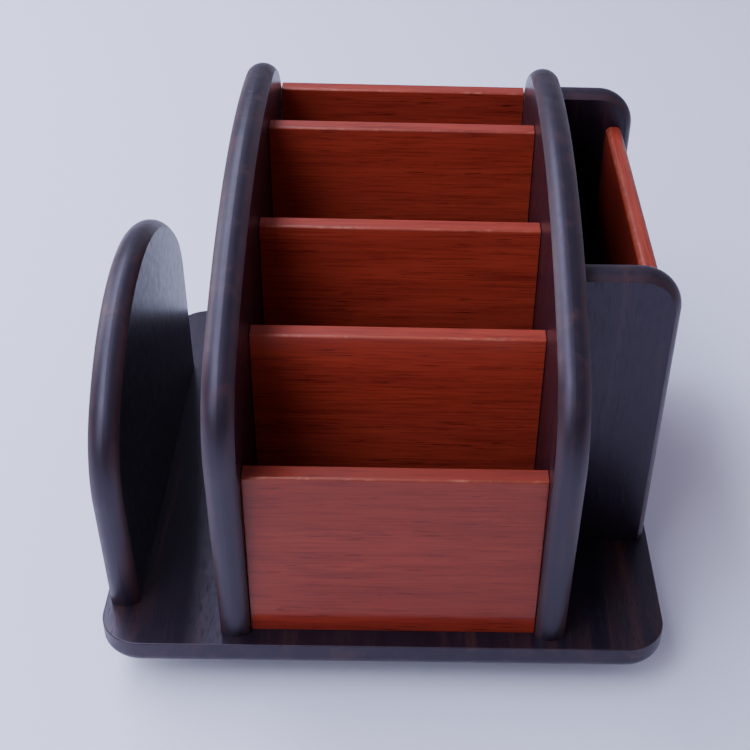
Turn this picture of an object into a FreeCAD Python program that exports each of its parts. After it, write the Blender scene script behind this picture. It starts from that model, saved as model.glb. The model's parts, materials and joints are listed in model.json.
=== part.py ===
import FreeCAD, Part
import math
import os

# Rotating desk organizer: stained boards stand on a base plate, which turns on a ball
# bearing above a small round foot.
# Frame: millimetres, +Z up, front of the organizer at -Y, +X to its right. The origin
# is on the turning axis, at the surface that the four rubber pads stand on.

Vector = FreeCAD.Vector
X_AXIS = Vector(1, 0, 0)
Y_AXIS = Vector(0, 1, 0)
Z_AXIS = Vector(0, 0, 1)

# ---- boards -------------------------------------------------------------------------
BASE_BOARD = 12.0       # thickness of the base plate
UPRIGHT_BOARD = 12.5    # thickness of the dark uprights
DIVIDER_BOARD = 8.0     # thickness of the red boards
EDGE_ARC_RADIUS = 7.6   # arc across the edge of every dark upright, a little over half its thickness
EDGE_ARC_SPARE = 0.2    # flat left in the middle of that arc
RED_EDGE_ROUND = 1.2    # eased top edges of the dividers

# ---- turntable stack, from the floor up ---------------------------------------------
PAD_HEIGHT = 3.0
PAD_RADIUS = 9.0
PAD_EDGE_ROUND = 0.8
PAD_CIRCLE_RADIUS = 68.0
PAD_COUNT = 4
FOOT_BOARD_THICKNESS = 6.0
FOOT_BOARD_RADIUS = 80.0
FOOT_BOARD_EDGE_ROUND = 1.5
RING_HEIGHT = 7.0
RING_STANDOFF = 1.0     # gap from each ring to the board that it isn't screwed to
foot_board_bottom = PAD_HEIGHT
foot_board_top = foot_board_bottom + FOOT_BOARD_THICKNESS
base_bottom = foot_board_top + RING_HEIGHT + RING_STANDOFF
base_top = base_bottom + BASE_BOARD

# ---- ball bearing -------------------------------------------------------------------
PITCH_RADIUS = 52.0     # circle through the ball centres
BALL_RADIUS = 2.5
BALL_COUNT = 30
GROOVE_CLEARANCE = 0.1
RING_SPLIT = 1.4        # from the pitch circle to the wall of either ring
INNER_RING_BORE = 38.0
OUTER_RING_RADIUS = 66.0
CAGE_HALF_WALL = 0.7
CAGE_HEIGHT = 6.4
POCKET_CLEARANCE = 0.15
RING_EDGE_CHAMFER = 0.6
INNER_SCREW_CIRCLE = 44.0
OUTER_SCREW_CIRCLE = 60.0
RING_SCREW_COUNT = 4
FIRST_INNER_SCREW = 45.0   # degrees from +X to the inner ring's first screw
FIRST_PAD = 45.0           # degrees from +X to the first rubber pad
ACCESS_HOLE_RADIUS = 5.0
ball_z = foot_board_top + (RING_HEIGHT + RING_STANDOFF) / 2

# ---- base plate ---------------------------------------------------------------------
BASE_WIDTH = 240.0
BASE_DEPTH = 250.0
BASE_CENTRE_Y = 1.5     # the turning axis is this far in front of the plate's middle
BASE_CORNER_RADIUS = 18.0
BASE_TOP_ROUND = 0.6
BASE_BOTTOM_ROUND = 5.0

# ---- stepped middle: two shaped side panels and five dividers -----------------------
CELL_WIDTH = 120.0
CELL_CENTRE_X = 4.0
cell_left = CELL_CENTRE_X - CELL_WIDTH / 2
cell_right = CELL_CENTRE_X + CELL_WIDTH / 2
# name, Y of the front face, height above the base plate
DIVIDERS = (
    ("divider_1_front", -114.5, 84.5),
    ("divider_2", -65.5, 117.5),
    ("divider_3", -13.5, 137.5),
    ("divider_4", 43.0, 155.5),
    ("divider_5_rear", 108.5, 144.2),
)

# Outline of an upright, with heights above the base plate: straight front and rear
# edges that lean a little, cut off by one crown arc, with rounded corners.
SIDE_PANEL = dict(
    front_foot=-118.9, front_lean=-0.07, rear_foot=121.0, rear_lean=0.0,
    crown_y=37.5, crown_top=171.5, crown_radius=288.0, front_corner=45.5, rear_corner=49.0,
)
END_PANEL = dict(
    front_foot=-102.2, front_lean=-0.08, rear_foot=76.8, rear_lean=-0.06,
    crown_y=-19.5, crown_top=126.2, crown_radius=108.0, front_corner=47.0, rear_corner=41.0,
)
END_PANEL_INNER_X = -105.0

# ---- pen box on the right ------------------------------------------------------------
BOX_FRONT_HEIGHT = 142.9
BOX_BACK_HEIGHT = 144.7
BOX_FOOT_X = 118.3       # outer edge of the front and back panels at their foot
BOX_TOP_X = 119.6        # and at their top, as the edge leans outwards
BOX_CORNER_RADIUS = 18.0
BOX_FRONT_Y = -56.5      # front face of the front panel
BOX_BACK_Y = 108.5       # front face of the back panel
BOX_WALL_INNER_X = 106.0
BOX_WALL_HEIGHT = 127.5
BOX_WALL_EDGE_ROUND = 3.0

# ---- fasteners ----------------------------------------------------------------------
FIT = 0.05               # radial play around every screw and dowel
PANEL_SCREW = dict(shank=1.75, head=3.6, length=30.0)
UPPER_RING_SCREW = dict(shank=1.75, head=3.4, length=16.0)
LOWER_RING_SCREW = dict(shank=1.75, head=3.4, length=12.0)
PAD_SCREW = dict(shank=1.5, head=3.0, length=8.0)
PAD_SCREW_RECESS = 0.6   # the pad screws' heads lie this deep in the rubber
SLOT_WIDTH_SHARE = 0.25  # width of a cross slot, as a share of the head's radius
SLOT_DEPTH_SHARE = 0.6   # depth of a cross slot, as a share of the head's height
TIP_LENGTH_SHARE = 2.0   # length of a screw's tip, in shank radii
TIP_END_SHARE = 0.2      # radius of the tip's end, in shank radii
SCREW_SPACING_SIDE = 80.0
SCREW_SPACING_END = 60.0
SCREW_SPACING_BOX = 22.0
DOWEL_RADIUS = 2.0
DOWEL_LENGTH = 16.0
DOWEL_CHAMFER = 0.4
DOWEL_HOLE_SPARE = 0.5   # each dowel hole is this much deeper than the dowel's half
DOWEL_LOW = 22.0         # height of the lower dowel row above the base plate
DOWEL_HIGH_BELOW_TOP = 22.0
BOX_SIDE_DOWEL_SHIFT = 18.0   # keeps the box's dowels clear of the rear divider's

# Edges to be rounded are found by where they lie.
NEAR = 0.1              # closer than this to a face counts as on it
FLAT_SPAN = 1e-4        # an edge that spans less than this across a plane lies in it
MIN_ALIGNMENT = 0.999   # cosine of the angle between an edge and its wanted direction
BLANK_SPARE = 1.0       # how far a board's blank reaches above its crown


def box(x_low, x_high, y_low, y_high, z_low, z_high):
    corner = Vector(x_low, y_low, z_low)
    return Part.makeBox(x_high - x_low, y_high - y_low, z_high - z_low, corner)


def polar(radius, degrees, z):
    angle = math.radians(degrees)
    return Vector(radius * math.cos(angle), radius * math.sin(angle), z)


def polar_row(radius, count, first_degrees, z):
    """Points spaced evenly round a circle."""
    return [polar(radius, first_degrees + 360.0 * i / count, z) for i in range(count)]


def ring(inner_radius, outer_radius, z_low, height):
    outer = Part.makeCylinder(outer_radius, height, Vector(0, 0, z_low))
    return outer.cut(Part.makeCylinder(inner_radius, height, Vector(0, 0, z_low)))


def edges_in_planes(solid, axis, floor_z):
    """Edges that lie flat across the given axis (0, 1 or 2), apart from those at floor_z."""
    found = []
    for edge in solid.Edges:
        bounds = edge.BoundBox
        spans = (bounds.XLength, bounds.YLength, bounds.ZLength)
        if spans[axis] < FLAT_SPAN and bounds.ZMax > floor_z + NEAR:
            found.append(edge)
    return found


def edges_along(solid, direction, above_z):
    """Straight edges in the given direction whose lowest point is above a height."""
    found = []
    for edge in solid.Edges:
        if edge.Curve.TypeId != "Part::GeomLine" or edge.BoundBox.ZMin < above_z:
            continue
        if abs(edge.tangentAt(edge.FirstParameter).dot(direction)) > MIN_ALIGNMENT:
            found.append(edge)
    return found


def screw(point, direction, shank, head, length):
    """A countersunk wood screw: the flat of its head is at point, its tip along direction."""
    head_height = head - shank
    tip_height = TIP_LENGTH_SHARE * shank
    cone = Part.makeCone(head, shank, head_height, point, direction)
    shaft_start = point + direction * head_height
    shaft = Part.makeCylinder(shank, length - head_height - tip_height, shaft_start, direction)
    tip_start = point + direction * (length - tip_height)
    tip = Part.makeCone(shank, TIP_END_SHARE * shank, tip_height, tip_start, direction)
    body = cone.fuse([shaft, tip]).removeSplitter()
    slot_depth = SLOT_DEPTH_SHARE * head_height
    slot_width = SLOT_WIDTH_SHARE * head
    for size_x, size_y in ((head, slot_width), (slot_width, head)):
        slot = box(-size_x / 2, size_x / 2, -size_y / 2, size_y / 2, -slot_depth, slot_depth)
        slot.translate(point)
        body = body.cut(slot)
    return body


def screw_hole(point, direction, shank, head, length):
    """The countersunk hole that a screw of the same sizes lies in."""
    head_height = head - shank
    cone = Part.makeCone(head + FIT, shank + FIT, head_height, point, direction)
    bore = Part.makeCylinder(shank + FIT, length + FIT, point, direction)
    return cone.fuse(bore)


def dowel(centre, direction):
    start = centre - direction * (DOWEL_LENGTH / 2)
    peg = Part.makeCylinder(DOWEL_RADIUS, DOWEL_LENGTH, start, direction)
    rims = [edge for edge in peg.Edges if edge.Curve.TypeId == "Part::GeomCircle"]
    return peg.makeChamfer(DOWEL_CHAMFER, rims)


def dowel_hole(centre, direction):
    half = DOWEL_LENGTH / 2 + DOWEL_HOLE_SPARE
    return Part.makeCylinder(DOWEL_RADIUS + FIT, 2 * half, centre - direction * half, direction)


def upper_corners(board, direction):
    """The corner edges above the foot that run along X or Y, from the lowest Y or X upwards."""
    corners = edges_along(board, direction, base_top + NEAR)
    corners.sort(key=lambda edge: edge.CenterOfMass.x + edge.CenterOfMass.y)
    return corners


def shaped_upright(x_low, outline):
    """A board across X with leaning edges under one crown arc; its edge is an arc right across."""
    blank_thickness = 2 * EDGE_ARC_RADIUS + EDGE_ARC_SPARE
    blank_x = x_low + (UPRIGHT_BOARD - blank_thickness) / 2
    reach = outline["crown_top"] + BLANK_SPARE
    front, rear = outline["front_foot"], outline["rear_foot"]
    corners = (
        Vector(blank_x, front, base_top),
        Vector(blank_x, front + outline["front_lean"] * reach, base_top + reach),
        Vector(blank_x, rear + outline["rear_lean"] * reach, base_top + reach),
        Vector(blank_x, rear, base_top),
    )
    blank = Part.Face(Part.makePolygon(corners + corners[:1])).extrude(X_AXIS * blank_thickness)
    crown_z = base_top + outline["crown_top"] - outline["crown_radius"]
    crown_centre = Vector(blank_x, outline["crown_y"], crown_z)
    board = blank.common(Part.makeCylinder(outline["crown_radius"], blank_thickness, crown_centre, X_AXIS))
    board = board.makeFillet(outline["front_corner"], upper_corners(board, X_AXIS)[:1])
    board = board.makeFillet(outline["rear_corner"], upper_corners(board, X_AXIS)[-1:])
    board = board.makeFillet(EDGE_ARC_RADIUS, edges_in_planes(board, 0, base_top))
    around = board.BoundBox
    slab = box(x_low, x_low + UPRIGHT_BOARD, around.YMin, around.YMax, around.ZMin, around.ZMax)
    return board.common(slab)


def box_cross_panel(front_y, height):
    """A dark board across Y that closes one end of the pen box."""
    blank_thickness = 2 * EDGE_ARC_RADIUS + EDGE_ARC_SPARE
    blank_y = front_y + (UPRIGHT_BOARD - blank_thickness) / 2
    inner_x = cell_right + UPRIGHT_BOARD
    box_top = base_top + height
    corners = (
        Vector(inner_x, blank_y, base_top),
        Vector(BOX_FOOT_X, blank_y, base_top),
        Vector(BOX_TOP_X, blank_y, box_top),
        Vector(inner_x, blank_y, box_top),
    )
    board = Part.Face(Part.makePolygon(corners + corners[:1])).extrude(Y_AXIS * blank_thickness)
    board = board.makeFillet(BOX_CORNER_RADIUS, upper_corners(board, Y_AXIS)[-1:])
    rounded = [
        edge for edge in edges_in_planes(board, 1, base_top)
        if edge.BoundBox.XMax > inner_x + NEAR
    ]
    board = board.makeFillet(EDGE_ARC_RADIUS, rounded)
    slab = box(inner_x, BOX_TOP_X, front_y, front_y + UPRIGHT_BOARD, base_top, box_top)
    return board.common(slab)


def divider_board(front_y, height):
    board = box(cell_left, cell_right, front_y, front_y + DIVIDER_BOARD, base_top, base_top + height)
    return board.makeFillet(RED_EDGE_ROUND, edges_along(board, X_AXIS, base_top + NEAR))


def box_wall_board():
    """The red board that closes the pen box on its outer side."""
    outer_x = BOX_WALL_INNER_X + DIVIDER_BOARD
    wall_front = BOX_FRONT_Y + UPRIGHT_BOARD
    board = box(BOX_WALL_INNER_X, outer_x, wall_front, BOX_BACK_Y, base_top, base_top + BOX_WALL_HEIGHT)
    return board.makeFillet(BOX_WALL_EDGE_ROUND, edges_along(board, Y_AXIS, base_top + NEAR))


def base_board():
    front_y = BASE_CENTRE_Y - BASE_DEPTH / 2
    board = box(-BASE_WIDTH / 2, BASE_WIDTH / 2, front_y, front_y + BASE_DEPTH, base_bottom, base_top)
    board = board.makeFillet(BASE_CORNER_RADIUS, edges_along(board, Z_AXIS, base_bottom - NEAR))
    flat_edges = edges_in_planes(board, 2, 0.0)
    lower = [edge for edge in flat_edges if edge.BoundBox.ZMax < base_bottom + NEAR]
    board = board.makeFillet(BASE_BOTTOM_ROUND, lower)
    upper = [edge for edge in edges_in_planes(board, 2, 0.0) if edge.BoundBox.ZMin > base_top - NEAR]
    return board.makeFillet(BASE_TOP_ROUND, upper)


def groove():
    return Part.makeTorus(PITCH_RADIUS, BALL_RADIUS + GROOVE_CLEARANCE, Vector(0, 0, ball_z))


def bearing_ring(inner_radius, outer_radius, z_low):
    blank = ring(inner_radius, outer_radius, z_low, RING_HEIGHT)
    rims = [edge for edge in blank.Edges if edge.Curve.TypeId == "Part::GeomCircle"]
    return blank.makeChamfer(RING_EDGE_CHAMFER, rims).cut(groove())


def ball_centres():
    return polar_row(PITCH_RADIUS, BALL_COUNT, 0, ball_z)


def bearing_cage():
    low = ball_z - CAGE_HEIGHT / 2
    cage = ring(PITCH_RADIUS - CAGE_HALF_WALL, PITCH_RADIUS + CAGE_HALF_WALL, low, CAGE_HEIGHT)
    for centre in ball_centres():
        outward = Vector(centre.x, centre.y, 0).normalize()
        start = centre - outward * BALL_RADIUS
        cage = cage.cut(Part.makeCylinder(BALL_RADIUS + POCKET_CLEARANCE, 2 * BALL_RADIUS, start, outward))
    return cage


def screw_points_under_uprights():
    """Heads of the screws that come up through the base plate into the uprights."""
    half_board = UPRIGHT_BOARD / 2
    side_middle = (SIDE_PANEL["front_foot"] + SIDE_PANEL["rear_foot"]) / 2
    end_middle = (END_PANEL["front_foot"] + END_PANEL["rear_foot"]) / 2
    points = []
    for x in (cell_left - half_board, cell_right + half_board):
        for step in (-1, 0, 1):
            points.append(Vector(x, side_middle + step * SCREW_SPACING_SIDE, base_bottom))
    for step in (-1, 0, 1):
        y = end_middle + step * SCREW_SPACING_END
        points.append(Vector(END_PANEL_INNER_X - half_board, y, base_bottom))
    box_middle = (cell_right + UPRIGHT_BOARD + BOX_FOOT_X) / 2
    for front_y in (BOX_FRONT_Y, BOX_BACK_Y):
        for side in (-0.5, 0.5):
            x = box_middle + side * SCREW_SPACING_BOX
            points.append(Vector(x, front_y + half_board, base_bottom))
    return points


def divider_dowel_centres():
    centres = []
    for _, front_y, height in DIVIDERS:
        for x in (cell_left, cell_right):
            for z in (DOWEL_LOW, height - DOWEL_HIGH_BELOW_TOP):
                centres.append(Vector(x, front_y + DIVIDER_BOARD / 2, base_top + z))
    return centres


def box_side_dowel_centres():
    """Dowels along X, from the right side panel into the ends of the pen box's dark boards."""
    low = DOWEL_LOW + BOX_SIDE_DOWEL_SHIFT
    high = BOX_FRONT_HEIGHT - DOWEL_HIGH_BELOW_TOP - BOX_SIDE_DOWEL_SHIFT
    centres = []
    for front_y in (BOX_FRONT_Y, BOX_BACK_Y):
        for z in (low, high):
            centres.append(Vector(cell_right + UPRIGHT_BOARD, front_y + UPRIGHT_BOARD / 2, base_top + z))
    return centres


def box_wall_dowel_centres():
    """Dowels along Y, from the pen box's dark boards into the ends of its red wall."""
    x = BOX_WALL_INNER_X + DIVIDER_BOARD / 2
    centres = []
    for y in (BOX_FRONT_Y + UPRIGHT_BOARD, BOX_BACK_Y):
        for z in (DOWEL_LOW, BOX_WALL_HEIGHT - DOWEL_HIGH_BELOW_TOP):
            centres.append(Vector(x, y, base_top + z))
    return centres


def bored(board, holes):
    """The board with those holes cut that reach it."""
    reaching = [hole for hole in holes if hole.BoundBox.intersect(board.BoundBox)]
    return board.cut(Part.makeCompound(reaching)) if reaching else board


def export(name, shape):
    solids = shape.Solids
    if not solids or not all(solid.isValid() for solid in solids):
        raise RuntimeError(name + " isn't made of valid solids")
    result = solids[0] if len(solids) == 1 else Part.makeCompound(solids)
    result.exportStep("parts/" + name + ".step")
    print(name, len(solids), "solid(s)", round(sum(solid.Volume for solid in solids)), "mm3")


def export_together(name, shapes):
    export(name, Part.makeCompound(shapes))


def export_boards(panel_screw_holes, ring_screw_holes, peg_holes):
    """Every board that turns, bored for its screws and dowels."""
    export("base_plate", bored(base_board(), panel_screw_holes + ring_screw_holes))
    holes = panel_screw_holes + peg_holes
    export("left_side_panel", bored(shaped_upright(cell_left - UPRIGHT_BOARD, SIDE_PANEL), holes))
    export("right_side_panel", bored(shaped_upright(cell_right, SIDE_PANEL), holes))
    end_panel = shaped_upright(END_PANEL_INNER_X - UPRIGHT_BOARD, END_PANEL)
    export("left_end_panel", bored(end_panel, holes))
    export("box_front_panel", bored(box_cross_panel(BOX_FRONT_Y, BOX_FRONT_HEIGHT), holes))
    export("box_back_panel", bored(box_cross_panel(BOX_BACK_Y, BOX_BACK_HEIGHT), holes))
    export("box_outer_wall", bored(box_wall_board(), holes))
    for name, front_y, height in DIVIDERS:
        export(name, bored(divider_board(front_y, height), peg_holes))


def export_organizer():
    """The turning part: its boards, dowels and screws, and the bearing's inner ring."""
    panel_screws = screw_points_under_uprights()
    panel_screw_holes = [screw_hole(point, Z_AXIS, **PANEL_SCREW) for point in panel_screws]
    upper_ring_bottom = foot_board_top + RING_STANDOFF
    ring_screws = polar_row(INNER_SCREW_CIRCLE, RING_SCREW_COUNT, FIRST_INNER_SCREW, upper_ring_bottom)
    ring_screw_holes = [screw_hole(point, Z_AXIS, **UPPER_RING_SCREW) for point in ring_screws]
    divider_pegs = divider_dowel_centres()
    side_pegs = box_side_dowel_centres()
    wall_pegs = box_wall_dowel_centres()
    peg_holes = [dowel_hole(centre, X_AXIS) for centre in divider_pegs + side_pegs]
    peg_holes += [dowel_hole(centre, Y_AXIS) for centre in wall_pegs]
    export_boards(panel_screw_holes, ring_screw_holes, peg_holes)

    export_together("panel_screws", [screw(point, Z_AXIS, **PANEL_SCREW) for point in panel_screws])
    export_together("divider_dowels", [dowel(centre, X_AXIS) for centre in divider_pegs])
    box_pegs = [dowel(centre, X_AXIS) for centre in side_pegs]
    box_pegs += [dowel(centre, Y_AXIS) for centre in wall_pegs]
    export_together("box_dowels", box_pegs)

    upper_ring = bearing_ring(INNER_RING_BORE, PITCH_RADIUS - RING_SPLIT, upper_ring_bottom)
    export("upper_bearing_ring", bored(upper_ring, ring_screw_holes))
    export_together("upper_ring_screws", [screw(point, Z_AXIS, **UPPER_RING_SCREW) for point in ring_screws])


def export_ball_ring():
    export("bearing_cage", bearing_cage())
    export_together("bearing_balls", [Part.makeSphere(BALL_RADIUS, centre) for centre in ball_centres()])


def foot_board(screw_holes):
    board = Part.makeCylinder(FOOT_BOARD_RADIUS, FOOT_BOARD_THICKNESS, Vector(0, 0, foot_board_bottom))
    rims = [edge for edge in board.Edges if edge.Curve.TypeId == "Part::GeomCircle"]
    board = board.makeFillet(FOOT_BOARD_EDGE_ROUND, rims)
    # The upper ring's screws are driven through this one hole, as the base plate is turned.
    access_point = polar(INNER_SCREW_CIRCLE, FIRST_INNER_SCREW, foot_board_bottom)
    access = Part.makeCylinder(ACCESS_HOLE_RADIUS, FOOT_BOARD_THICKNESS, access_point)
    return bored(board, screw_holes + [access])


def rubber_pad(point, hole):
    """A round pad whose screw's head lies in a recess."""
    floor_point = Vector(point.x, point.y, 0)
    pad = Part.makeCylinder(PAD_RADIUS, PAD_HEIGHT, floor_point)
    rim = [edge for edge in pad.Edges if edge.BoundBox.ZMax < NEAR]
    pad = pad.makeFillet(PAD_EDGE_ROUND, rim)
    recess = Part.makeCylinder(PAD_SCREW["head"] + FIT, PAD_SCREW_RECESS, floor_point)
    return bored(pad, [hole, recess])


def export_foot():
    """The round foot that stays still, with the bearing's outer ring on top of it."""
    down = Z_AXIS * -1
    ring_screws = polar_row(OUTER_SCREW_CIRCLE, RING_SCREW_COUNT, 0, foot_board_top + RING_HEIGHT)
    ring_holes = [screw_hole(point, down, **LOWER_RING_SCREW) for point in ring_screws]
    pad_screws = polar_row(PAD_CIRCLE_RADIUS, PAD_COUNT, FIRST_PAD, PAD_SCREW_RECESS)
    pad_holes = [screw_hole(point, Z_AXIS, **PAD_SCREW) for point in pad_screws]

    lower_ring = bearing_ring(PITCH_RADIUS + RING_SPLIT, OUTER_RING_RADIUS, foot_board_top)
    export("lower_bearing_ring", bored(lower_ring, ring_holes))
    export_together("lower_ring_screws", [screw(point, down, **LOWER_RING_SCREW) for point in ring_screws])
    export("foot_board", foot_board(ring_holes + pad_holes))
    for i, point in enumerate(pad_screws):
        export("rubber_pad_%d" % (i + 1), rubber_pad(point, pad_holes[i]))
    export_together("pad_screws", [screw(point, Z_AXIS, **PAD_SCREW) for point in pad_screws])


os.makedirs("parts", exist_ok=True)
export_organizer()
export_ball_ring()
export_foot()
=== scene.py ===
import bmesh
import bpy
import json
import math
from mathutils import Matrix, Vector


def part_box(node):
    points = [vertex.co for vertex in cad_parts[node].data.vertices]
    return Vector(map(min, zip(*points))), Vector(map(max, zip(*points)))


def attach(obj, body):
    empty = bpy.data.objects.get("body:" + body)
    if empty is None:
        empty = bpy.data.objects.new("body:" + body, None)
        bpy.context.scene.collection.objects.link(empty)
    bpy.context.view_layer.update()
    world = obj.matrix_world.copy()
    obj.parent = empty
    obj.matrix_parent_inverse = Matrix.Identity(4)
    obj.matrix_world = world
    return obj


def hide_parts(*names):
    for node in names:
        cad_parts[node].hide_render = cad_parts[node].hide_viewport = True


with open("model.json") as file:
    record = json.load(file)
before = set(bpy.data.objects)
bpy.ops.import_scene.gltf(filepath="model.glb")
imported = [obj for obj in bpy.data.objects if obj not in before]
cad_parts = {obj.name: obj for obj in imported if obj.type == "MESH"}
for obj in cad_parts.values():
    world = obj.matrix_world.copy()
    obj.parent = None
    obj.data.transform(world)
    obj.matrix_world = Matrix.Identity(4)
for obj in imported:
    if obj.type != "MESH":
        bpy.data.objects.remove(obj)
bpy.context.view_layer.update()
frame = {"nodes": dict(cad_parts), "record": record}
MM = 0.001

# The camera stands in front of the organizer and looks down at it.
CAMERA_PLACE = Vector((0.0053, -0.5120, 0.4579))
CAMERA_YAW = math.radians(1.51)
CAMERA_PITCH = math.radians(36.4)
CAMERA_ROLL = math.radians(1.91)
CAMERA_LENS_MM = 65.08
CAMERA_SHIFT_X = -0.0726
CAMERA_SHIFT_Y = -0.0015

# Axes, as indices of X, Y and Z.
ALONG_X = 0
ALONG_Y = 1
ALONG_Z = 2
# The way the grain runs in each dark board, and the axis straight through its face.
DARK_BOARDS = {
    "base_plate": (ALONG_Y, ALONG_Z),
    "foot_board": (ALONG_Y, ALONG_Z),
    "left_side_panel": (ALONG_Z, ALONG_X),
    "right_side_panel": (ALONG_Z, ALONG_X),
    "left_end_panel": (ALONG_Z, ALONG_X),
    "box_front_panel": (ALONG_Z, ALONG_Y),
    "box_back_panel": (ALONG_Z, ALONG_Y),
}
# Arrises of the red boards: the top ones are rounded over, the others just eased.
DIVIDER_TOP_ROUND = 1.2 * MM
WALL_TOP_ROUND = 3.0 * MM
TOP_SEGMENTS = 6
EASED = 0.35 * MM
EASED_SEGMENTS = 3
ROUND_PROFILE = 0.5     # the profile value of a circular bevel
END_GAP = 0.15 * MM     # glue line at each end of a red board
SHARP_ANGLE = math.radians(60)
FLAT_FACE = 0.999       # a face whose normal has a part above this is shaded flat
ALIGNED = 0.99          # an edge with more than this share of its length along an axis follows it
# Each red board's grain, the rounding of its top arrises, and the painted shade that darkens its stain,
# most on the front board.
RED_BOARDS = {
    "box_outer_wall": (ALONG_Y, WALL_TOP_ROUND, 1.0),
    "divider_1_front": (ALONG_X, DIVIDER_TOP_ROUND, 0.71),
    "divider_2": (ALONG_X, DIVIDER_TOP_ROUND, 1.0),
    "divider_3": (ALONG_X, DIVIDER_TOP_ROUND, 1.0),
    "divider_4": (ALONG_X, DIVIDER_TOP_ROUND, 0.96),
    "divider_5_rear": (ALONG_X, DIVIDER_TOP_ROUND, 0.98),
}

# The studio, in metres.
FLOOR_HALF = 3.0
FLOOR_COLOUR = (0.82, 0.82, 0.92)
FLOOR_ROUGHNESS = 0.8
WALL_Y = -1.5
WALL_TOP = 0.85
WALL_COLOUR = (0.20, 0.11, 0.07)
WALL_ROUGHNESS = 0.9
STAGE_SPECULAR = 0.2
ROOM_COLOUR = (0.80, 0.79, 1.08)
ROOM_STRENGTH = 0.48
# Each area light's name, place, target, size, power in watts and colour.
AREA_LIGHTS = (
    ("window", (-0.72, -1.00, 1.05), (0, 0, 0.1), (0.8, 1.3), 12.5, (0.84, 0.90, 1.16)),
    ("skylight", (-0.62, 0.25, 1.35), (-0.62, 0.25, 0.0), (0.6, 2.6), 35, (0.82, 0.90, 1.24)),
    ("side_window", (-1.5, 0.7, 0.9), (0, 0, 0.05), (1.0, 1.0), 14, (0.88, 0.92, 1.14)),
)

# Linear colours of the stains, of what shows through them, and of the painted reflection, painted
# highlight and dark line on the edges.
DARK_STAIN = (
    (0.32, (0.0070, 0.0042, 0.0085)),
    (0.54, (0.0120, 0.0070, 0.0120)),
    (0.66, (0.0300, 0.0130, 0.0140)),
    (0.76, (0.0560, 0.0220, 0.0150)),
)
DARK_PORE = (0.0040, 0.0028, 0.0060)
# Painted reflection: the warm red seen along the dark rims.
PAINTED_RIM_REFLECTION = (0.050, 0.018, 0.015)
DARK_ARRIS = (0.0030, 0.0018, 0.0040)
DARK_SHEEN = (0.86, 0.76, 0.92)
RED_STAIN = (
    (0.25, (0.240, 0.0265, 0.0145)),
    (0.50, (0.290, 0.0330, 0.0165)),
    (0.75, (0.350, 0.0430, 0.0205)),
)
RED_FIBRE = (0.100, 0.0085, 0.0055)
RED_PATCH = (0.090, 0.0085, 0.0062)
RED_PORE = (0.030, 0.0036, 0.0032)
# Painted highlight: the paler colour of the rounded arrises.
PAINTED_ARRIS_HIGHLIGHT = (0.45, 0.15, 0.085)
RED_SHEEN = (1.0, 0.88, 0.76)
RED_SPECULAR = 0.32

# Wood patterns: noise cells per metre along and across the grain, detail, roughness, distortion.
DARK_FIGURE = (6.0, 110.0, 4.0, 0.6, 0.6)
DARK_PORES = (150.0, 2100.0, 2.0, 0.5, 0.0)
# Patches that break up the painted reflection on the dark rims.
RIM_REFLECTION_PATCHES = (25.0, 90.0, 3.0, 0.55, 0.0)
RED_BANDS = (5.0, 75.0, 4.0, 0.6, 1.0)
RED_FIBRES = (30.0, 1300.0, 4.0, 0.65, 0.2)
RED_PORES = (75.0, 1700.0, 2.0, 0.5, 0.0)
RED_PATCHES = (16.0, 190.0, 4.0, 0.6, 0.4)
FILM_CELLS = 240.0
# Cells of the patches that break up the painted highlight on the red arrises.
HIGHLIGHT_PATCH_CELLS = 160.0
# Each red board's grain is taken from another place in the same pattern.
PATTERN_STEP = 0.37
# How deep the relief of the grain and of the lacquer goes.
PORE_DEPTH = 0.06 * MM
FILM_DEPTH = 0.06 * MM
FIBRE_DEPTH = 0.04 * MM
MARK_DEPTH = 0.01 * MM


def make_camera():
    """A camera with its aim given as yaw, pitch and roll about its own place."""
    forward = Vector((
        math.sin(CAMERA_YAW) * math.cos(CAMERA_PITCH),
        math.cos(CAMERA_YAW) * math.cos(CAMERA_PITCH),
        -math.sin(CAMERA_PITCH),
    ))
    level_right = Vector((math.cos(CAMERA_YAW), -math.sin(CAMERA_YAW), 0.0))
    level_up = level_right.cross(forward)
    right = level_right * math.cos(CAMERA_ROLL) + level_up * math.sin(CAMERA_ROLL)
    up = level_up * math.cos(CAMERA_ROLL) - level_right * math.sin(CAMERA_ROLL)
    data = bpy.data.cameras.new("camera")
    data.lens = CAMERA_LENS_MM
    data.shift_x = CAMERA_SHIFT_X
    data.shift_y = CAMERA_SHIFT_Y
    camera = bpy.data.objects.new("camera", data)
    turn = Matrix((right, up, -forward)).transposed().to_4x4()
    camera.matrix_world = Matrix.Translation(CAMERA_PLACE) @ turn
    bpy.context.scene.collection.objects.link(camera)
    bpy.context.scene.camera = camera


def stage_plane(name, corners, colour, roughness):
    """A flat piece of the studio, which isn't part of the object."""
    mesh = bpy.data.meshes.new(name)
    mesh.from_pydata(corners, [], [(0, 1, 2, 3)])
    plane = bpy.data.objects.new(name, mesh)
    bpy.context.scene.collection.objects.link(plane)
    material = bpy.data.materials.new(name)
    material.use_nodes = True
    shader = material.node_tree.nodes["Principled BSDF"]
    shader.inputs["Base Color"].default_value = (*colour, 1)
    shader.inputs["Roughness"].default_value = roughness
    shader.inputs["Specular IOR Level"].default_value = STAGE_SPECULAR
    mesh.materials.append(material)
    return plane


def make_studio():
    """Pale paper under the organizer, and a dark wall far in front that its varnish reflects."""
    half = FLOOR_HALF
    floor = [(-half, -half, 0), (half, -half, 0), (half, half, 0), (-half, half, 0)]
    stage_plane("floor", floor, FLOOR_COLOUR, FLOOR_ROUGHNESS)
    wall = [(-half, WALL_Y, 0), (half, WALL_Y, 0), (half, WALL_Y, WALL_TOP), (-half, WALL_Y, WALL_TOP)]
    dark_wall = stage_plane("dark_wall", wall, WALL_COLOUR, WALL_ROUGHNESS)
    dark_wall.visible_camera = False


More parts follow.
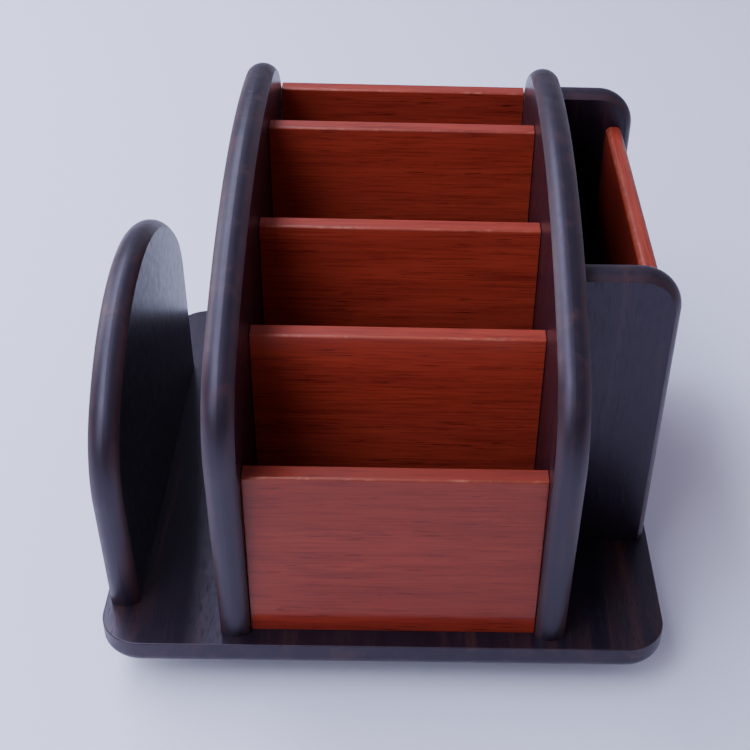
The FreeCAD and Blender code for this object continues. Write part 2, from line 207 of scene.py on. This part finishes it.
def area_light(name, place, target, size, power, colour):
    data = bpy.data.lights.new(name, "AREA")
    data.shape = "RECTANGLE"
    data.size, data.size_y = size
    data.energy = power
    data.color = colour
    light = bpy.data.objects.new(name, data)
    aim = (Vector(target) - Vector(place)).to_track_quat("-Z", "Y")
    light.matrix_world = Matrix.Translation(Vector(place)) @ aim.to_matrix().to_4x4()
    bpy.context.scene.collection.objects.link(light)


def make_lights():
    """A tall window in front on the left, a long skylight, a softer side window and the room."""
    world = bpy.data.worlds.new("world")
    bpy.context.scene.world = world
    world.use_nodes = True
    background = world.node_tree.nodes["Background"]
    background.inputs["Color"].default_value = (*ROOM_COLOUR, 1)
    background.inputs["Strength"].default_value = ROOM_STRENGTH
    for values in AREA_LIGHTS:
        area_light(*values)


class Nodes:
    """A material's node tree, with one short call for each kind of node it uses."""

    def __init__(self, name):
        self.material = bpy.data.materials.new(name)
        self.material.use_nodes = True
        self.tree = self.material.node_tree
        self.shader = self.tree.nodes["Principled BSDF"]
        self.places = self.tree.nodes.new("ShaderNodeTexCoord")

    def link(self, source, target):
        self.tree.links.new(source, target)

    def stretched(self, scale, shift=0.0):
        """The object's own coordinates in metres, shifted, then times a scale for each axis."""
        place = self.tree.nodes.new("ShaderNodeVectorMath")
        place.operation = "ADD"
        self.link(self.places.outputs["Object"], place.inputs[0])
        place.inputs[1].default_value = (shift, shift, shift)
        mapping = self.tree.nodes.new("ShaderNodeMapping")
        self.link(place.outputs["Vector"], mapping.inputs["Vector"])
        mapping.inputs["Scale"].default_value = scale
        return mapping.outputs["Vector"]

    def noise(self, vector, detail=3.0, roughness=0.55, distortion=0.0):
        noise = self.tree.nodes.new("ShaderNodeTexNoise")
        self.link(vector, noise.inputs["Vector"])
        noise.inputs["Scale"].default_value = 1.0
        noise.inputs["Detail"].default_value = detail
        noise.inputs["Roughness"].default_value = roughness
        noise.inputs["Distortion"].default_value = distortion
        return noise.outputs["Fac"]

    def even_noise(self, cells, detail=3.0, roughness=0.55):
        """Noise with the same number of cells per metre in every direction."""
        return self.noise(self.stretched((cells, cells, cells)), detail, roughness)

    def streaks(self, axis, pattern, shift=0.0):
        """Noise stretched along a grain direction, with the values of one wood pattern."""
        along_grain, across_grain, detail, roughness, distortion = pattern
        scale = [across_grain, across_grain, across_grain]
        scale[axis] = along_grain
        return self.noise(self.stretched(scale, shift), detail, roughness, distortion)

    def range(self, value, low, high, to_low=0.0, to_high=1.0):
        """The value, stretched smoothly from low..high to to_low..to_high."""
        node = self.tree.nodes.new("ShaderNodeMapRange")
        node.interpolation_type = "SMOOTHSTEP"
        self.link(value, node.inputs["Value"])
        node.inputs["From Min"].default_value = low
        node.inputs["From Max"].default_value = high
        node.inputs["To Min"].default_value = to_low
        node.inputs["To Max"].default_value = to_high
        return node.outputs["Result"]

    def math(self, operation, first, second):
        node = self.tree.nodes.new("ShaderNodeMath")
        node.operation = operation
        for socket, value in zip(node.inputs, (first, second)):
            if isinstance(value, float):
                socket.default_value = value
            else:
                self.link(value, socket)
        return node.outputs["Value"]

    def times(self, first, second):
        return self.math("MULTIPLY", first, second)

    def plus(self, first, second):
        return self.math("ADD", first, second)

    def ramp(self, value, stops):
        """A colour ramp with (position, colour) stops."""
        node = self.tree.nodes.new("ShaderNodeValToRGB")
        self.link(value, node.inputs["Fac"])
        ramp = node.color_ramp
        while len(ramp.elements) < len(stops):
            ramp.elements.new(0.5)
        for element, (position, colour) in zip(ramp.elements, stops):
            element.position = position
            element.color = (*colour, 1)
        return node.outputs["Color"]

    def mix(self, amount, first, second, blend="MIX"):
        """Colour mixing; second may be a plain colour."""
        node = self.tree.nodes.new("ShaderNodeMix")
        node.data_type = "RGBA"
        node.blend_type = blend
        self.link(amount, node.inputs["Factor"])
        self.link(first, node.inputs["A"])
        if isinstance(second, tuple):
            node.inputs["B"].default_value = (*second, 1)
        else:
            self.link(second, node.inputs["B"])
        return node.outputs["Result"]

    def facing(self, axis):
        """How squarely the surface faces along an axis, from 0 to 1."""
        split = self.tree.nodes.new("ShaderNodeSeparateXYZ")
        self.link(self.places.outputs["Normal"], split.inputs["Vector"])
        return self.math("ABSOLUTE", split.outputs[axis], 0.0)

    def arris(self):
        """1 where the surface faces none of the three axes, as along a rounded arris."""
        largest = self.facing(0)
        for axis in (1, 2):
            largest = self.math("MAXIMUM", largest, self.facing(axis))
        return self.range(largest, 0.985, 0.90)

    def bump(self, height, depth, strength, under=None):
        node = self.tree.nodes.new("ShaderNodeBump")
        self.link(height, node.inputs["Height"])
        node.inputs["Distance"].default_value = depth
        node.inputs["Strength"].default_value = strength
        if under is not None:
            self.link(under, node.inputs["Normal"])
        return node.outputs["Normal"]

    def surface(self, colour, roughness, normal):
        self.link(colour, self.shader.inputs["Base Color"])
        self.link(roughness, self.shader.inputs["Roughness"])
        self.link(normal, self.shader.inputs["Normal"])


def dark_wood(grain, face):
    """Near-black stain under satin lacquer: fine pores, faint brown figure, rims painted redder as a warm
    reflection.
    """
    nodes = Nodes("dark_wood_" + "xyz"[grain] + "xyz"[face])
    nodes.shader.inputs["Specular Tint"].default_value = (*DARK_SHEEN, 1)
    colour = nodes.ramp(nodes.streaks(grain, DARK_FIGURE), DARK_STAIN)

    # Pores are open on the flat faces and nearly filled where the edges are sanded round.
    facing = nodes.facing(face)
    open_pores = nodes.range(facing, 0.90, 0.99, 0.15, 1.0)
    pore_lines = nodes.times(nodes.range(nodes.streaks(grain, DARK_PORES), 0.56, 0.70), open_pores)
    colour = nodes.mix(pore_lines, colour, DARK_PORE)

    # Painted reflection: the rims next to each face are coloured redder, in patches, for the warm light
    # they reflect.
    beside_face = nodes.range(facing, 0.99, 0.90)
    rim = nodes.times(nodes.range(facing, 0.35, 0.62), beside_face)
    painted_sheen_patches = nodes.range(nodes.streaks(grain, RIM_REFLECTION_PATCHES), 0.30, 0.65, 0.30, 0.60)
    colour = nodes.mix(nodes.times(rim, painted_sheen_patches), colour, PAINTED_RIM_REFLECTION)
    # A thin dark line is coloured along the arris, where the round edge meets the face.
    arris_line = nodes.times(nodes.range(facing, 0.76, 0.80), beside_face)
    colour = nodes.mix(arris_line, colour, DARK_ARRIS)

    # The flat faces are polished a little more than the round edges, and pores are dull.
    film = nodes.even_noise(FILM_CELLS, 2.0, 0.5)
    roughness = nodes.range(film, 0.25, 0.75, 0.40, 0.46)
    roughness = nodes.plus(roughness, nodes.times(pore_lines, 0.10))
    roughness = nodes.plus(roughness, nodes.times(open_pores, -0.12))
    uneven = nodes.bump(film, FILM_DEPTH, 0.025)
    normal = nodes.bump(nodes.math("SUBTRACT", 1.0, pore_lines), PORE_DEPTH, 0.45, uneven)
    nodes.surface(colour, roughness, normal)
    return nodes.material


def red_wood(grain, seed, painted_shade):
    """Red-brown stained mahogany: fine dark fibres, soft dark patches, short pores, pale painted
    highlights on the arrises.
    """
    nodes = Nodes("red_wood_" + "xyz"[grain] + str(seed))
    nodes.shader.inputs["Specular IOR Level"].default_value = RED_SPECULAR
    nodes.shader.inputs["Specular Tint"].default_value = (*RED_SHEEN, 1)
    shift = PATTERN_STEP * seed
    bands = nodes.streaks(grain, RED_BANDS, shift)
    fibres = nodes.streaks(grain, RED_FIBRES, shift)
    pores = nodes.streaks(grain, RED_PORES, shift)
    patches = nodes.streaks(grain, RED_PATCHES, shift)

    # Painted shade: each board's stain is darkened by its own factor, most on the front board.
    stain = [(position, [part * painted_shade for part in stop]) for position, stop in RED_STAIN]
    colour = nodes.ramp(bands, stain)
    colour = nodes.mix(nodes.range(fibres, 0.44, 0.70, 0.0, 0.60), colour, RED_FIBRE)
    colour = nodes.mix(nodes.range(patches, 0.52, 0.72, 0.0, 0.34), colour, RED_PATCH)
    pore_lines = nodes.times(nodes.range(pores, 0.60, 0.72), nodes.range(patches, 0.36, 0.60))
    colour = nodes.mix(nodes.times(pore_lines, 0.75), colour, RED_PORE)
    # Painted highlight: the rounded arrises are coloured paler, in patches, for the light they catch.
    painted_sheen_patches = nodes.range(nodes.even_noise(HIGHLIGHT_PATCH_CELLS, 4.0, 0.7), 0.50, 0.70, 0.14, 0.60)
    colour = nodes.mix(nodes.times(nodes.arris(), painted_sheen_patches), colour, PAINTED_ARRIS_HIGHLIGHT)

    # The boards' tops are handled and have lost some of their polish.
    upward = nodes.range(nodes.facing(ALONG_Z), 0.3, 0.6)
    roughness = nodes.range(fibres, 0.30, 0.75, 0.15, 0.21)
    roughness = nodes.plus(roughness, nodes.times(upward, 0.26))
    fibre_relief = nodes.bump(fibres, FIBRE_DEPTH, 0.25)
    normal = nodes.bump(nodes.math("SUBTRACT", 1.0, pore_lines), PORE_DEPTH, 0.35, fibre_relief)
    nodes.surface(colour, roughness, normal)
    return nodes.material


def beech():
    nodes = Nodes("beech")
    flecks = nodes.even_noise(900.0)
    colour = nodes.ramp(flecks, ((0.35, (0.50, 0.34, 0.19)), (0.65, (0.66, 0.50, 0.33))))
    roughness = nodes.range(flecks, 0.3, 0.7, 0.50, 0.65)
    nodes.surface(colour, roughness, nodes.bump(flecks, FIBRE_DEPTH, 0.4))
    return nodes.material


def metal(name, dark, light, rough_low, rough_high, mark_scale):
    """Metal with fine marks, lighter and darker patches and a varying polish."""
    nodes = Nodes(name)
    nodes.shader.inputs["Metallic"].default_value = 1.0
    marks = nodes.noise(nodes.stretched(mark_scale), 4.0, 0.6)
    cloud = nodes.even_noise(160.0)
    colour = nodes.ramp(cloud, ((0.35, dark), (0.65, light)))
    roughness = nodes.range(marks, 0.3, 0.7, rough_low, rough_high)
    nodes.surface(colour, roughness, nodes.bump(marks, MARK_DEPTH, 0.3))
    return nodes.material


def plastic(name, dark, light, rough_low, rough_high, bump_depth):
    nodes = Nodes(name)
    cloud = nodes.even_noise(300.0)
    speckle = nodes.even_noise(2500.0, 2.0)
    colour = nodes.ramp(cloud, ((0.35, dark), (0.65, light)))
    roughness = nodes.range(speckle, 0.3, 0.7, rough_low, rough_high)
    nodes.surface(colour, roughness, nodes.bump(speckle, bump_depth, 0.5))
    return nodes.material


def along(edge, axis):
    """True if a straight mesh edge runs along the axis."""
    run = edge.verts[1].co - edge.verts[0].co
    return abs(run[axis]) > ALIGNED * run.length


def round_edges(shape, edges, radius, segments):
    bmesh.ops.bevel(
        shape, geom=edges, offset=radius, segments=segments, profile=ROUND_PROFILE, affect="EDGES"
    )


def red_board(node, grain, top_round, painted_shade, seed):
    """A red board with rounded top arrises and eased ends that stop just short of their neighbours."""
    low, high = [Vector(corner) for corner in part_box(node)]
    low[grain] += END_GAP
    high[grain] -= END_GAP
    shape = bmesh.new()
    bmesh.ops.create_cube(shape, size=1.0)
    for vertex in shape.verts:
        for axis in range(3):
            vertex.co[axis] = high[axis] if vertex.co[axis] > 0 else low[axis]
    top = [edge for edge in shape.edges if along(edge, grain) and edge.verts[0].co.z > high.z - EASED]
    round_edges(shape, top, top_round, TOP_SEGMENTS)
    sharp = [edge for edge in shape.edges if edge.calc_face_angle(0.0) > SHARP_ANGLE]
    round_edges(shape, sharp, EASED, EASED_SEGMENTS)
    mesh = bpy.data.meshes.new(node + "_board")
    shape.to_mesh(mesh)
    shape.free()
    for face in mesh.polygons:
        face.use_smooth = max(abs(part) for part in face.normal) < FLAT_FACE
    mesh.materials.append(red_wood(grain, seed, painted_shade))
    board = bpy.data.objects.new(node + "_board", mesh)
    bpy.context.scene.collection.objects.link(board)
    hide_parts(node)
    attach(board, "organizer")


def paint(node, material):
    mesh = frame["nodes"][node].data
    mesh.materials.clear()
    mesh.materials.append(material)


def finish_nodes():
    """Gives each CAD node its material, and each red board its own mesh."""
    finishes = {
        "beech_dowel": beech(),
        "zinc_plated_steel": metal(
            "zinc", (0.50, 0.50, 0.47), (0.66, 0.66, 0.63), 0.24, 0.42, (900.0, 900.0, 900.0)
        ),
        "anodised_aluminium": metal(
            "aluminium", (0.66, 0.67, 0.69), (0.78, 0.79, 0.80), 0.26, 0.40, (60.0, 60.0, 2600.0)
        ),
        "bearing_steel": metal(
            "ball_steel", (0.60, 0.61, 0.63), (0.74, 0.75, 0.77), 0.05, 0.14, (700.0, 700.0, 700.0)
        ),
        "nylon_cage": plastic("nylon", (0.74, 0.73, 0.68), (0.84, 0.83, 0.79), 0.38, 0.52, 0.02 * MM),
        "black_rubber": plastic(
            "rubber", (0.018, 0.018, 0.019), (0.032, 0.031, 0.031), 0.62, 0.80, 0.05 * MM
        ),
    }
    slots = {row["node"]: row["material_slot"] for row in frame["record"]["subparts"]}
    dark = {}
    seed = 0
    for node in sorted(frame["nodes"]):
        slot = slots[node]
        if slot == "dark_stained_wood":
            board = DARK_BOARDS[node]
            if board not in dark:
                dark[board] = dark_wood(*board)
            paint(node, dark[board])
        elif slot == "mahogany_stained_wood":
            seed += 1
            red_board(node, *RED_BOARDS[node], seed)
        else:
            paint(node, finishes[slot])


make_camera()
make_studio()
make_lights()
finish_nodes()
